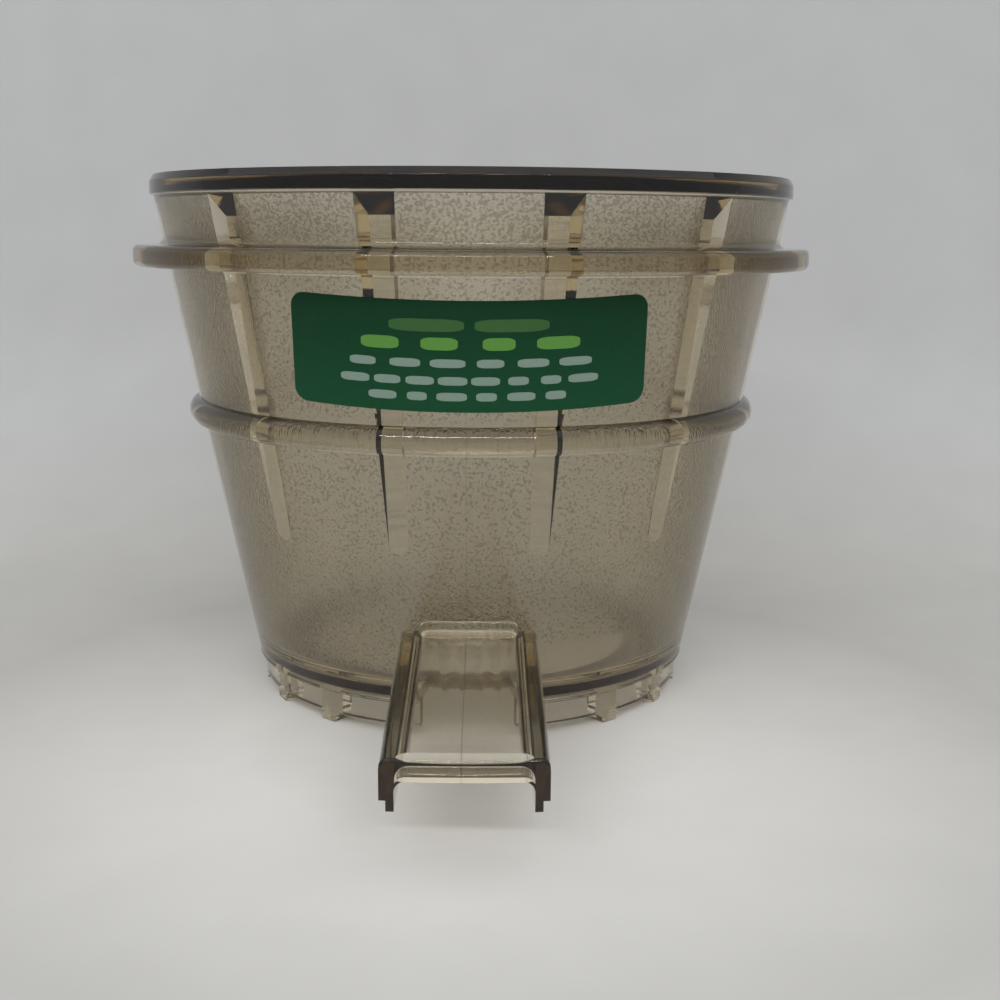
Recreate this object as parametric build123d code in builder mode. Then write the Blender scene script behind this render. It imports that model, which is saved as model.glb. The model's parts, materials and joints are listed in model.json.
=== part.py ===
from build123d import *
import os
from math import cos, radians, sin, tan

# Sorbet strainer of an upright juicer: a tapered, ribbed bowl with a hooded spout, and its sticker.
# Millimetres, +Z up along the bowl's axis. The origin is the shaft hole's centre at the floor's
# underside, and the spout points along -Y.

os.makedirs("parts", exist_ok=True)

# Heights from the floor's underside
FOOT_DROP = 6.8
SKIRT_DROP = 4.9
FLOOR_THICK = 2.5
RING_HEIGHT = 1.5
BEAD_Z = 53.6
FLANGE_LOW = 82.2
FLANGE_THICK = 4.2
RIM_TOP = 100.0

# Radii of the tapered wall's outside, and how far other rings stand in or out from it
WALL_BOTTOM_R = 46.4
WALL_BEAD_R = 57.4
WALL_TOP_R = 65.5
SKIRT_INSET = 1.2
RING_OUT = 0.2
FLANGE_OUT = 7.15
RIM_OUT = 0.8

# Sections
WALL = 4.4
SKIRT_WALL = 2.2
RIM_HEIGHT = 3.9
RIM_BEVEL_UP = 1.3
RIM_BEVEL_IN = 0.7
RIM_LAND = 0.2
LEAD_ANGLE = 42.0
BEAD_CHORD = 9.0
BEAD_RISE = 2.0
BEAD_LIFT = 0.5
FLANGE_BEVEL = 1.0
FLANGE_COVE = 1.2
SEAT_COVE = 0.6
RIM_COVE = 0.6
FLOOR_COVE = 3.0

# Inner ribs
RIB_COUNT = 12
RIB_FACE = 3.7
RIB_DEPTH = 3.8
RIB_DRAFT = 24.0
RIB_END_Z = 30.7

# Shaft hole in the floor
SHAFT_R = 9.0
COLLAR_WALL = 2.6
COLLAR_RISE = 3.0

# Feet round the skirt
FOOT_WIDTH = 3.4
FOOT_SHOULDER = 5.4
FOOT_DEPTH = 4.6
FOOT_FLANK = 2.6
FOOT_FIRST = 38.5
FOOT_PITCH = 21.5
FOOT_PER_SIDE = 7

# Hooded spout
SPOUT_REACH = 105.0
SPOUT_HALF = 12.9
SPOUT_LEG = 2.3
SPOUT_ROOF = 2.2
SPOUT_ROUND = 1.4
SPOUT_ROOT_Z = 18.1
SPOUT_ROOT_RUN = 3.6
SPOUT_ROOT_DROP = 2.3
SPOUT_ROOT_HALF = 9.2
SPOUT_ROOT_ROUND = 1.6
SPOUT_FRONT_Z = 12.5
SPOUT_LOW = 4.2
LIP_LOW = 9.0
LIP_DEPTH = 3.4
LIP_SLOPE = 42.0
LIP_ROUND = 1.7
CHANNEL_ROUND = 2.3
TONGUE_HEIGHT = 1.7
TONGUE_WALL = 1.25

# Outlet notch in the floor below the spout
NOTCH_REACH = 8.4
NOTCH_HALF_ANGLE = 12.5

# Sticker
LABEL_THICK = 0.2
LABEL_WIDTH = 62.8
LABEL_GAP = 4.7
LABEL_HEIGHT = 19.6
LABEL_ROUND = 2.5
LABEL_SAG = 1.2

# Overlap that makes a cut or a joint run past the surface that it meets
OVER = 1.0

# Closeness that counts as the same height or radius when edges are chosen
SAME = 0.05

RIM_LOW = RIM_TOP - RIM_HEIGHT
FLANGE_TOP = FLANGE_LOW + FLANGE_THICK


def wall_r(z):
    """Outer radius of the tapered wall, which changes slope at the bead."""
    if z < BEAD_Z:
        return WALL_BOTTOM_R + (WALL_BEAD_R - WALL_BOTTOM_R) * z / BEAD_Z
    return WALL_BEAD_R + (WALL_TOP_R - WALL_BEAD_R) * (z - BEAD_Z) / (RIM_LOW - BEAD_Z)


def rings_at(part, z, radius):
    """The full circular edges of a part at one height and radius."""
    circles = part.edges().filter_by(GeomType.CIRCLE)
    level = circles.filter_by(lambda e: abs(e.center().Z - z) < SAME)
    return level.filter_by(lambda e: abs(e.radius - radius) < SAME)


SKIRT_R = WALL_BOTTOM_R - SKIRT_INSET
RING_R = WALL_BOTTOM_R + RING_OUT
FLANGE_R = wall_r(FLANGE_LOW) + FLANGE_OUT
RIM_R = WALL_TOP_R + RIM_OUT

# The lead-in is a cone from the rim's top land down to the ribs' inner faces
LEAD_TOP_R = RIM_R - RIM_BEVEL_IN - RIM_LAND
LEAD_RISE = tan(radians(LEAD_ANGLE))
LEAD_Z = RIM_TOP - (LEAD_TOP_R - wall_r(RIM_LOW) + WALL) * LEAD_RISE
RIB_TOP_Z = LEAD_Z - RIB_DEPTH * LEAD_RISE
RIB_TOP_R = wall_r(RIB_TOP_Z) - WALL - RIB_DEPTH
RIB_END_R = wall_r(RIB_END_Z) - WALL

# One inner rib: a flat face that meets the wall at its foot, with drafted sides
rib_run = Vector(RIB_TOP_R - RIB_END_R, 0, RIB_TOP_Z - RIB_END_Z)
rib_out = Vector(rib_run.Z, 0, -rib_run.X).normalized()
rib_plane = Plane(origin=(RIB_END_R, 0, RIB_END_Z), x_dir=(0, 1, 0), z_dir=rib_out)
rib_length = rib_run.length + RIB_DEPTH + RIB_FACE

with BuildPart() as rib:
    with BuildSketch(rib_plane):
        with Locations((0, rib_length / 2)):
            SlotOverall(rib_length, RIB_FACE, rotation=90)
    extrude(amount=RIB_DEPTH + WALL, taper=-RIB_DRAFT)
    with BuildSketch(Plane.XZ):
        with BuildLine():
            Polyline(
                (0, 0),
                (wall_r(0) - WALL / 2, 0),
                (wall_r(BEAD_Z) - WALL / 2, BEAD_Z),
                (wall_r(LEAD_Z) - WALL / 2, LEAD_Z + WALL / 2 * LEAD_RISE),
                (RIB_TOP_R, RIB_TOP_Z),
                (0, RIB_TOP_Z),
                close=True,
            )
        make_face()
    revolve(axis=Axis.Z, mode=Mode.INTERSECT)

# One foot: a block that runs down the skirt and tapers below it
with BuildPart() as foot:
    with BuildSketch(Plane.YZ.offset(SKIRT_R - FOOT_DEPTH)):
        with BuildLine():
            foot_base = Line((-FOOT_WIDTH / 2, -FOOT_DROP), (FOOT_WIDTH / 2, -FOOT_DROP))
            right_flank = RadiusArc(foot_base @ 1, (FOOT_SHOULDER / 2, -SKIRT_DROP), FOOT_FLANK)
            left_flank = RadiusArc((-FOOT_SHOULDER / 2, -SKIRT_DROP), foot_base @ 0, FOOT_FLANK)
            Polyline(
                right_flank @ 1,
                (FOOT_SHOULDER / 2, FLOOR_THICK / 2),
                (-FOOT_SHOULDER / 2, FLOOR_THICK / 2),
                left_flank @ 0,
            )
        make_face()
    extrude(amount=FOOT_DEPTH)
    with BuildSketch(Plane.XY.offset(-FOOT_DROP)):
        Circle(SKIRT_R)
    extrude(amount=FOOT_DROP + FLOOR_THICK, mode=Mode.INTERSECT)

# The spout's root: a ramp from its roof up the wall, between the legs
ROOT_REACH = wall_r(SPOUT_ROOT_Z) + SPOUT_ROOT_RUN

with BuildPart() as root:
    with BuildSketch(Plane.YZ):
        with BuildLine():
            Polyline(
                (0, LIP_LOW),
                (-ROOT_REACH, LIP_LOW),
                (-ROOT_REACH, SPOUT_ROOT_Z - SPOUT_ROOT_DROP),
                (-wall_r(SPOUT_ROOT_Z), SPOUT_ROOT_Z),
                (0, SPOUT_ROOT_Z),
                close=True,
            )
        make_face()
    extrude(amount=SPOUT_ROOT_HALF, both=True)
    ramp_edges = root.edges().filter_by(lambda e: e.center().Z > SPOUT_ROOT_Z - SPOUT_ROOT_DROP)
    ramp_sides = ramp_edges.filter_by(lambda e: abs(e.center().X) > SPOUT_ROOT_HALF / 2)
    fillet(ramp_sides.filter_by(Axis.X, reverse=True), radius=SPOUT_ROOT_ROUND)

# The spout's hood: roof and two legs, cut to a circle round the bowl's axis in front
with BuildPart() as hood:
    with BuildSketch(Plane.YZ):
        with BuildLine():
            Polyline(
                (0, SPOUT_LOW),
                (-SPOUT_REACH, SPOUT_LOW),
                (-SPOUT_REACH, SPOUT_FRONT_Z),
                (-ROOT_REACH, SPOUT_ROOT_Z - SPOUT_ROOT_DROP),
                (0, SPOUT_ROOT_Z - SPOUT_ROOT_DROP),
                close=True,
            )
        make_face()
    extrude(amount=SPOUT_HALF, both=True)
    top_edges = hood.edges().filter_by(lambda e: e.center().Z > SPOUT_FRONT_Z)
    side_edges = top_edges.filter_by(lambda e: abs(e.center().X) > SPOUT_HALF / 2)
    fillet(side_edges.filter_by(Axis.X, reverse=True), radius=SPOUT_ROUND)
    with BuildSketch(Plane.XY.offset(SPOUT_LOW)):
        Circle(SPOUT_REACH)
    extrude(amount=SPOUT_ROOT_Z, mode=Mode.INTERSECT)
    with BuildSketch(Plane.XY.offset(SPOUT_LOW)):
        Rectangle(2 * SPOUT_HALF, 2 * SPOUT_REACH)
        Rectangle(2 * (SPOUT_HALF - SPOUT_LEG + TONGUE_WALL), 2 * SPOUT_REACH, mode=Mode.SUBTRACT)
    extrude(amount=TONGUE_HEIGHT, mode=Mode.SUBTRACT)

# The spout's channel: an inverted U below the roof, whose ceiling slants down to a lip in front
CHANNEL_HALF = SPOUT_HALF - SPOUT_LEG
LIP_RUN = (SPOUT_ROOT_Z - LIP_LOW) / tan(radians(LIP_SLOPE))

with BuildPart() as channel:
    with BuildSketch(Plane.YZ):
        with BuildLine():
            Polyline(
                (-wall_r(FLOOR_THICK) + WALL + FLOOR_COVE, FLOOR_THICK),
                (-SPOUT_REACH, FLOOR_THICK),
                (-SPOUT_REACH, SPOUT_FRONT_Z - SPOUT_ROOF),
                (-wall_r(SPOUT_ROOT_Z) + WALL + OVER, SPOUT_ROOT_Z - SPOUT_ROOT_DROP - SPOUT_ROOF),
                close=True,
            )
        make_face()
    extrude(amount=CHANNEL_HALF, both=True)
    roof_edges = channel.edges().filter_by(lambda e: e.center().Z > SPOUT_FRONT_Z - SPOUT_ROOF)
    corner_edges = roof_edges.filter_by(lambda e: abs(e.center().X) > CHANNEL_HALF / 2)
    fillet(corner_edges.filter_by(Axis.X, reverse=True), radius=CHANNEL_ROUND)
    with BuildSketch(Plane.YZ):
        with BuildLine():
            Polyline(
                (0, 0),
                (-SPOUT_REACH + LIP_DEPTH, 0),
                (-SPOUT_REACH + LIP_DEPTH, LIP_LOW),
                (-SPOUT_REACH + LIP_DEPTH + LIP_RUN, SPOUT_ROOT_Z),
                (0, SPOUT_ROOT_Z),
                close=True,
            )
        make_face()
    extrude(amount=SPOUT_HALF, both=True, mode=Mode.INTERSECT)
    with BuildSketch(Plane.XZ.offset(SPOUT_REACH / 2)):
        with Locations((0, LIP_LOW / 2)):
            RectangleRounded(2 * CHANNEL_HALF, LIP_LOW, LIP_ROUND)
    extrude(amount=SPOUT_REACH / 2 + OVER)

with BuildPart() as strainer_body:
    # Outside of the bowl and the skirt below it
    with BuildSketch(Plane.XZ):
        with BuildLine():
            Polyline(
                (0, -SKIRT_DROP),
                (SKIRT_R, -SKIRT_DROP),
                (SKIRT_R, 0),
                (RING_R, 0),
                (RING_R, RING_HEIGHT),
                (wall_r(RING_HEIGHT), RING_HEIGHT),
                (wall_r(BEAD_Z), BEAD_Z),
                (wall_r(RIM_LOW), RIM_LOW),
                (RIM_R, RIM_LOW),
                (RIM_R, RIM_TOP - RIM_BEVEL_UP),
                (RIM_R - RIM_BEVEL_IN, RIM_TOP),
                (0, RIM_TOP),
                close=True,
            )
        make_face()
    revolve(axis=Axis.Z)

    # Flange that hangs on the juicing bowl
    with BuildSketch(Plane.XZ):
        with Locations((FLANGE_R / 2, FLANGE_LOW + FLANGE_THICK / 2)):
            Rectangle(FLANGE_R, FLANGE_THICK)
    revolve(axis=Axis.Z)

    # Bead round the middle of the wall
    with BuildSketch(Plane.XZ):
        with BuildLine():
            bead_low = (wall_r(BEAD_Z - BEAD_CHORD / 2), BEAD_Z - BEAD_CHORD / 2)
            bead_high = (wall_r(BEAD_Z + BEAD_CHORD / 2), BEAD_Z + BEAD_CHORD / 2)
            ThreePointArc(bead_low, (WALL_BEAD_R + BEAD_RISE, BEAD_Z + BEAD_LIFT), bead_high)
            Polyline(bead_high, (WALL_BEAD_R - WALL, BEAD_Z), bead_low)
        make_face()
    revolve(axis=Axis.Z)

    # Eased corners where the flange and the rim meet the wall, and round the flange
    chamfer(rings_at(strainer_body, FLANGE_TOP, wall_r(FLANGE_TOP)), length=FLANGE_COVE)
    chamfer(rings_at(strainer_body, FLANGE_LOW, wall_r(FLANGE_LOW)), length=SEAT_COVE)
    chamfer(rings_at(strainer_body, RIM_LOW, wall_r(RIM_LOW)), length=RIM_COVE)
    chamfer(rings_at(strainer_body, FLANGE_TOP, FLANGE_R), length=FLANGE_BEVEL)
    chamfer(rings_at(strainer_body, FLANGE_LOW, FLANGE_R), length=FLANGE_BEVEL)

    add(hood.part)
    add(root.part)

    # Inside of the bowl, with the lead-in at its mouth
    with BuildSketch(Plane.XZ):
        with BuildLine():
            Polyline(
                (0, FLOOR_THICK),
                (wall_r(FLOOR_THICK) - WALL, FLOOR_THICK),
                (wall_r(BEAD_Z) - WALL, BEAD_Z),
                (wall_r(LEAD_Z) - WALL, LEAD_Z),
                (LEAD_TOP_R, RIM_TOP),
                (LEAD_TOP_R, RIM_TOP + OVER),
                (0, RIM_TOP + OVER),
                close=True,
            )
        make_face()
    revolve(axis=Axis.Z, mode=Mode.SUBTRACT)
    chamfer(rings_at(strainer_body, FLOOR_THICK, wall_r(FLOOR_THICK) - WALL), length=FLOOR_COVE)

    # Recess under the floor
    with BuildSketch(Plane.XY.offset(-SKIRT_DROP)):
        Circle(SKIRT_R - SKIRT_WALL)
    extrude(amount=SKIRT_DROP, mode=Mode.SUBTRACT)

    # Ribs
    with PolarLocations(0, RIB_COUNT, start_angle=90 + 180 / RIB_COUNT):
        add(rib.part)

    # Collar and shaft hole
    with BuildSketch():
        Circle(SHAFT_R + COLLAR_WALL)
    extrude(amount=FLOOR_THICK + COLLAR_RISE)
    with Locations((0, 0, FLOOR_THICK + COLLAR_RISE)):
        Hole(SHAFT_R)

    # Feet, spread from the spout round to the back
    foot_angles = [FOOT_FIRST + FOOT_PITCH * step for step in range(FOOT_PER_SIDE)]
    for foot_angle in foot_angles + [-angle for angle in foot_angles]:
        with Locations(Location((0, 0, 0), (0, 0, foot_angle - 90))):
            add(foot.part)

    # Channel through the wall and outlet notch through the floor's edge
    add(channel.part, mode=Mode.SUBTRACT)
    with BuildSketch(Plane.XY.offset(-FOOT_DROP)):
        with BuildLine():
            notch_out = 2 * RING_R
            Polyline(
                (0, 0),
                (notch_out * sin(radians(NOTCH_HALF_ANGLE)), -notch_out * cos(radians(NOTCH_HALF_ANGLE))),
                (-notch_out * sin(radians(NOTCH_HALF_ANGLE)), -notch_out * cos(radians(NOTCH_HALF_ANGLE))),
                close=True,
            )
        make_face()
        Circle(SKIRT_R - NOTCH_REACH, mode=Mode.SUBTRACT)
    extrude(amount=FOOT_DROP + FLOOR_THICK + OVER, mode=Mode.SUBTRACT)

strainer_body.part.label = "strainer_body"
export_step(strainer_body.part, "parts/strainer_body.step")

# Sticker on the wall between the flange and the bead
LABEL_LOW = BEAD_Z + LABEL_GAP
LABEL_HIGH = LABEL_LOW + LABEL_HEIGHT

with BuildPart() as label:
    with BuildSketch(Plane.XZ):
        with BuildLine():
            Polyline(
                (wall_r(LABEL_LOW), LABEL_LOW),
                (wall_r(LABEL_LOW) + LABEL_THICK, LABEL_LOW),
                (wall_r(LABEL_HIGH + LABEL_SAG) + LABEL_THICK, LABEL_HIGH + LABEL_SAG),
                (wall_r(LABEL_HIGH + LABEL_SAG), LABEL_HIGH + LABEL_SAG),
                close=True,
            )
        make_face()
    revolve(axis=Axis.Z)
    with BuildSketch(Plane.XZ):
        with BuildLine():
            half = LABEL_WIDTH / 2
            low_end = LABEL_LOW + LABEL_SAG
            high_end = LABEL_HIGH + LABEL_SAG
            low_edge = ThreePointArc((-half, low_end), (0, LABEL_LOW), (half, low_end))
            high_edge = ThreePointArc((half, high_end), (0, LABEL_HIGH), (-half, high_end))
            Line(low_edge @ 1, high_edge @ 0)
            Line(high_edge @ 1, low_edge @ 0)
        make_face()
        fillet(vertices(), radius=LABEL_ROUND)
    extrude(amount=FLANGE_R, mode=Mode.INTERSECT)

label.part.label = "label"
export_step(label.part, "parts/label.step")
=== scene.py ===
import json
from math import ceil, cos, pi, radians, sin, sqrt, tan

import bmesh
import bpy
import numpy as np
from bpy.props import FloatProperty, FloatVectorProperty, IntProperty, PointerProperty
from mathutils import Matrix, Vector


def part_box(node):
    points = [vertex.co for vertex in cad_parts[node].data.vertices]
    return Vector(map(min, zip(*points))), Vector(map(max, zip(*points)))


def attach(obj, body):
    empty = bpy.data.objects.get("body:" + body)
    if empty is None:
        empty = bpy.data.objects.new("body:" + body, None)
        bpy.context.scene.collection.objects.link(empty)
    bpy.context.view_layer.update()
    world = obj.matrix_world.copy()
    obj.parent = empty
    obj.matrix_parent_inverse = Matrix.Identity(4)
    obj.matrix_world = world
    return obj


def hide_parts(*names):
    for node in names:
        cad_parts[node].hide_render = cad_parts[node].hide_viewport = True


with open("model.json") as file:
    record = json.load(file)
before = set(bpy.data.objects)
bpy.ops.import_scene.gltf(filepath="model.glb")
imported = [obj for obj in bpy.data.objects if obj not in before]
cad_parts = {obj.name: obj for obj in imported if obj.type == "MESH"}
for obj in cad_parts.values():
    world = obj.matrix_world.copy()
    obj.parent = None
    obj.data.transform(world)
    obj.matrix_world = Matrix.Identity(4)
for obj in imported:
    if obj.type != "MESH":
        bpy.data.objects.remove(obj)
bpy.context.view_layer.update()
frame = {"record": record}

bl_info = {
    "name": "Sorbet Strainer",
    "version": (1, 0, 0),
    "blender": (4, 5, 0),
    "location": "View3D > Sidebar > Strainer",
    "description": "Moulds a smoky see-through juicer strainer on its packed frame and sets its stage",
    "category": "Object",
}

# Lengths below are millimetres in the frame's axes; meshes are written in metres
MM = 0.001
BODY_LOW, BODY_HIGH = (Vector(corner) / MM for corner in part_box("strainer_body"))
FOOT_Z = BODY_LOW.z
RIM_TOP = BODY_HIGH.z
FLANGE_R = BODY_HIGH.x
SPOUT_REACH = -BODY_LOW.y
SHAFT = next(mount for mount in frame["record"]["mounts"] if mount["name"] == "shaft_hole")
SHAFT_R = SHAFT["dims"]["r_mm"]

# Tapered wall, which changes slope at the bead
BEAD_Z = 53.6
RIM_LOW = RIM_TOP - 3.9
WALL_BOTTOM_R = 46.4
WALL_BEAD_R = 57.4
WALL_TOP_R = 65.5
FLOOR_THICK = 2.5
FLOOR_COVE = 4.0
FLANGE_LOW = 82.2
FLANGE_TOP = 86.4
FLANGE_ROUND = 1.3
RIM_R = WALL_TOP_R + 0.8
RIM_BEVEL_IN = 0.7
RIM_BEVEL_UP = 1.3
LEAD_TOP_R = RIM_R - RIM_BEVEL_IN - 0.2
LEAD_SLOPE = tan(radians(42))
RING_R = WALL_BOTTOM_R + 0.2
RING_TOP = 1.5
SKIRT_R = WALL_BOTTOM_R - 1.2
SKIRT_IN_R = SKIRT_R - 2.2
SKIRT_LOW = -4.9
COLLAR_R = SHAFT_R + 2.6
COLLAR_TOP = FLOOR_THICK + 3.0

# Half-round bead on the wall
BEAD_LOW = 50.2
BEAD_HIGH = 55.6
BEAD_RISE = 2.5
BEAD_STEPS = 16

# Feet round the skirt, as half widths from the foot's end up to its shoulder
FOOT_END = 1.7
FOOT_WAIST = 2.1
FOOT_SHOULDER = 2.7
FOOT_DEPTH = 4.6
FOOT_INSET = 0.05

# Hooded spout
SPOUT_HALF = 12.9
SPOUT_LEG = 2.3
SPOUT_ROOF = 2.2
SPOUT_ROUND = 1.4
SPOUT_ROOT_Z = 18.1
SPOUT_ROOT_RUN = 3.6
SPOUT_ROOT_DROP = 2.3
SPOUT_ROOT_HALF = 9.2
SPOUT_ROOT_ROUND = 1.6
SPOUT_BOW_RUN = 6.5
SPOUT_FRONT_Z = 12.5
SPOUT_LOW = 4.2
TONGUE_TOP = SPOUT_LOW + 1.7
TONGUE_WALL = 1.25
LIP_LOW = 9.0
LIP_HIGH = SPOUT_FRONT_Z - SPOUT_ROOF + 0.3
LIP_DEPTH = 3.4
LIP_SLOPE = tan(radians(62))
LIP_ROUND = 1.7
CHANNEL_HALF = SPOUT_HALF - SPOUT_LEG
CHANNEL_ROUND = 2.3
NOTCH_IN_R = SKIRT_R - 8.4
NOTCH_HALF_ANGLE = radians(12.5)
NOTCH_STEPS = 12

# Label on the wall between the flange and the bead
LABEL_LOW = BEAD_Z + 4.7
LABEL_HIGH = LABEL_LOW + 19.6
LABEL_HALF = 31.4
LABEL_ROUND = 2.5
LABEL_SAG = 1.2
LABEL_SINK = 0.03
INK_RISE = 0.02

# Rows of plain bars on the label: ink, height up the wall, row length, bar height and bar count
PRINT_ROWS = (
    ("deep", 73.6, 29.5, 2.2, 2),
    ("lime", 70.4, 41.3, 2.2, 4),
    ("pale", 67.0, 44.6, 1.5, 6),
    ("pale", 63.9, 45.8, 1.5, 8),
    ("pale", 61.1, 36.5, 1.5, 6),
)
BAR_SHORT = 0.52
BAR_LONG = 0.94
BAR_ROUND = 0.3

# Polished window low on the wall, right of the spout
WINDOW_X = 22.0
WINDOW_HALF = 8.5
WINDOW_FADE = 2.0
WINDOW_TOP = 11.5
WINDOW_TOP_FADE = 1.5
WINDOW_BACK = 5.0

# Parting line down the front, on the outer skin
SEAM_X = -0.5
SEAM_HALF = 0.05
SEAM_EDGE = 0.14
SEAM_DEPTH = 1.0
SEAM_END = 1.2

# Grain: share of it on the floor and the ribs, roughness, and the noise levels between pit and bare wall; the
# pits' dark colour is painted shade
FLOOR_GRAIN = 0.15
RIB_GRAIN = 0.08
GLOSS_ROUGH = 0.02
GRAIN_ROUGH = 0.22
RIPPLE_ROUGH = 0.02
RIPPLE_SHARE = 0.12
PIT_LEVEL = 0.32
BARE_LEVEL = 0.46
PIT_EXTRA = 0.08
CALM_NEAR = 2.0
CALM_FAR = 4.0
CALM_SHARE = 0.35

# Frosted ring on both faces of the floor's edge
FROST_IN_R = 33.0
FROST_R = 36.0
FROST_ROUGH = 0.6

# Paper sweep and the main light
PAPER_HALF = 900.0
PAPER_FRONT = -900.0
PAPER_BACK = 150.0
PAPER_LEAN = 60.0
PAPER_HEIGHT = 700.0
PAPER_BEND = 80.0
# Painted pool of light on the floor below the part, standing in for light that comes through the plastic
PAINTED_GLOW_Y = -0.4 * SPOUT_REACH
PAINTED_GLOW_R = 45.0
PAINTED_GLOW_FADE_R = 110.0
BACKDROP_Z = 30.0
KEY_SIZE = (900.0, 40.0)
KEY_PLACE = (-60.0, -720.0, 520.0)
KEY_AIM = (0.0, 0.0, 40.0)
SENSOR = 36.0

# Overlap of a solid that cuts or joins, facet of an arc and limit of a smooth edge
OVER = 1.0
ARC_STEP = radians(9)
SMOOTH_COS = cos(radians(32))

# Which solid each face of the moulding comes from
OUTSIDE, CAVITY, HOOD, RIB, FOOT, CHANNEL, GATE, NOTCH = range(8)


def wall_r(z):
    """Outer radius of the tapered wall at a height."""
    if z < BEAD_Z:
        return WALL_BOTTOM_R + (WALL_BEAD_R - WALL_BOTTOM_R) * z / BEAD_Z
    return WALL_BEAD_R + (WALL_TOP_R - WALL_BEAD_R) * (z - BEAD_Z) / (RIM_LOW - BEAD_Z)


ROOT_REACH = wall_r(SPOUT_ROOT_Z) + SPOUT_ROOT_RUN


class StrainerSizes(bpy.types.PropertyGroup):
    """Sizes of the moulding."""

    wall: FloatProperty(
        name="Wall", description="Thickness of the tapered wall", default=4.4 * MM, unit="LENGTH"
    )
    rib_count: IntProperty(name="Ribs", description="Inner ribs round the bowl", default=12, min=3)
    rib_face: FloatProperty(
        name="Rib face", description="Width of a rib's face", default=3.7 * MM, unit="LENGTH"
    )
    rib_depth: FloatProperty(
        name="Rib depth", description="Height of a rib at its top", default=3.8 * MM, unit="LENGTH"
    )
    rib_end: FloatProperty(
        name="Rib end", description="Height where the ribs run out", default=30.7 * MM, unit="LENGTH"
    )
    rib_draft: FloatProperty(
        name="Rib draft", description="Lean of a rib's sides", default=radians(24), unit="ROTATION"
    )
    feet_per_side: IntProperty(
        name="Feet a side", description="Feet on each side of the spout", default=7, min=1
    )
    foot_first: FloatProperty(
        name="First foot", description="Angle from the spout to the first foot", default=radians(38.5),
        unit="ROTATION",
    )
    foot_pitch: FloatProperty(
        name="Foot pitch", description="Angle between feet", default=radians(21.5), unit="ROTATION"
    )
    segments: IntProperty(name="Segments", description="Facets round the bowl", default=360, min=48)
    film: FloatProperty(name="Film", description="Thickness of the label", default=0.2 * MM, unit="LENGTH")


class StrainerFinish(bpy.types.PropertyGroup):
    """Colours and grain."""

    smoke: FloatVectorProperty(
        name="Smoke", description="Colour that the plastic lets through", subtype="COLOR",
        default=(0.59, 0.45, 0.11),
    )
    smoke_density: FloatProperty(name="Smoke density", description="Absorption for each metre", default=100.0)
    index: FloatProperty(name="Index", description="Refractive index of the plastic", default=1.57)
    grain_pitch: FloatProperty(
        name="Grain pitch", description="Size of the inner grain", default=0.3 * MM, unit="LENGTH"
    )
    grain_height: FloatProperty(
        name="Grain height", description="Depth of the inner grain", default=0.05 * MM, precision=6,
        unit="LENGTH",
    )
    pit_pitch: FloatProperty(
        name="Pit pitch", description="Spacing of the grain's dark pits", default=0.55 * MM, unit="LENGTH"
    )
    # Painted shade: the grain's pits are darkened in colour in place of the shade they get from bending light
    # away
    pit_painted_shade: FloatVectorProperty(
        name="Pit shade", description="Light that the grain's pits let through", subtype="COLOR",
        default=(0.5, 0.49, 0.46),
    )
    seam_shade: FloatVectorProperty(
        name="Seam shade", description="Light that the parting line lets through", subtype="COLOR",
        default=(0.72, 0.7, 0.66),
    )
    # Painted light on the label: its foot is lighter as a painted reflection of the floor, and its head is
    # darker as painted shade
    film_low_painted_sheen: FloatVectorProperty(
        name="Film low", description="Green at the label's foot", subtype="COLOR",
        default=(0.008, 0.075, 0.03),
    )
    film_high_painted_shade: FloatVectorProperty(
        name="Film high", description="Green at the label's head", subtype="COLOR",
        default=(0.003, 0.042, 0.015),
    )
    deep_print: FloatVectorProperty(
        name="Deep print", description="Colour of the label's first row", subtype="COLOR",
        default=(0.026, 0.12, 0.02),
    )
    lime_print: FloatVectorProperty(
        name="Lime print", description="Colour of the label's second row", subtype="COLOR",
        default=(0.1, 0.3, 0.04),
    )
    pale_print: FloatVectorProperty(
        name="Pale print", description="Colour of the label's lower rows", subtype="COLOR",
        default=(0.23, 0.33, 0.27),
    )


class StrainerStage(bpy.types.PropertyGroup):
    """Floor, light and camera."""

    floor_colour: FloatVectorProperty(
        name="Floor", description="Colour of the paper on the floor", subtype="COLOR",
        default=(0.63, 0.625, 0.605),
    )
    # Painted light: the paper below the part is lightened to stand in for light that comes through the
    # plastic
    painted_glow_colour: FloatVectorProperty(
        name="Middle", description="Colour of the paper below the part", subtype="COLOR",
        default=(0.94, 0.93, 0.9),
    )
    backdrop_colour: FloatVectorProperty(
        name="Backdrop", description="Colour of the paper behind", subtype="COLOR",
        default=(0.65, 0.66, 0.665),
    )
    sky: FloatProperty(name="Sky", description="Strength of the soft light overhead", default=0.92)
    horizon: FloatProperty(
        name="Horizon", description="Share of the soft light that the horizon keeps", default=0.35
    )
    key_power: FloatProperty(name="Key", description="Power of the main light", default=2.0, unit="POWER")
    camera_y: FloatProperty(
        name="Camera distance", description="Camera before the axis", default=298.2 * MM, unit="LENGTH"
    )
    camera_z: FloatProperty(
        name="Camera height", description="Camera above the origin", default=89.8 * MM, unit="LENGTH"
    )
    pitch: FloatProperty(
        name="Pitch", description="Camera tilt down", default=radians(11.09), unit="ROTATION"
    )
    yaw: FloatProperty(
        name="Yaw", description="Camera turn to the right", default=radians(1.2), unit="ROTATION"
    )
    roll: FloatProperty(
        name="Roll", description="Camera roll to the left", default=radians(0.44), unit="ROTATION"
    )
    orbit: FloatProperty(
        name="Orbit", description="Camera place round the axis", default=radians(0.5), unit="ROTATION"
    )
    lens: FloatProperty(name="Lens", description="Focal length in millimetres", default=49.67)


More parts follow.
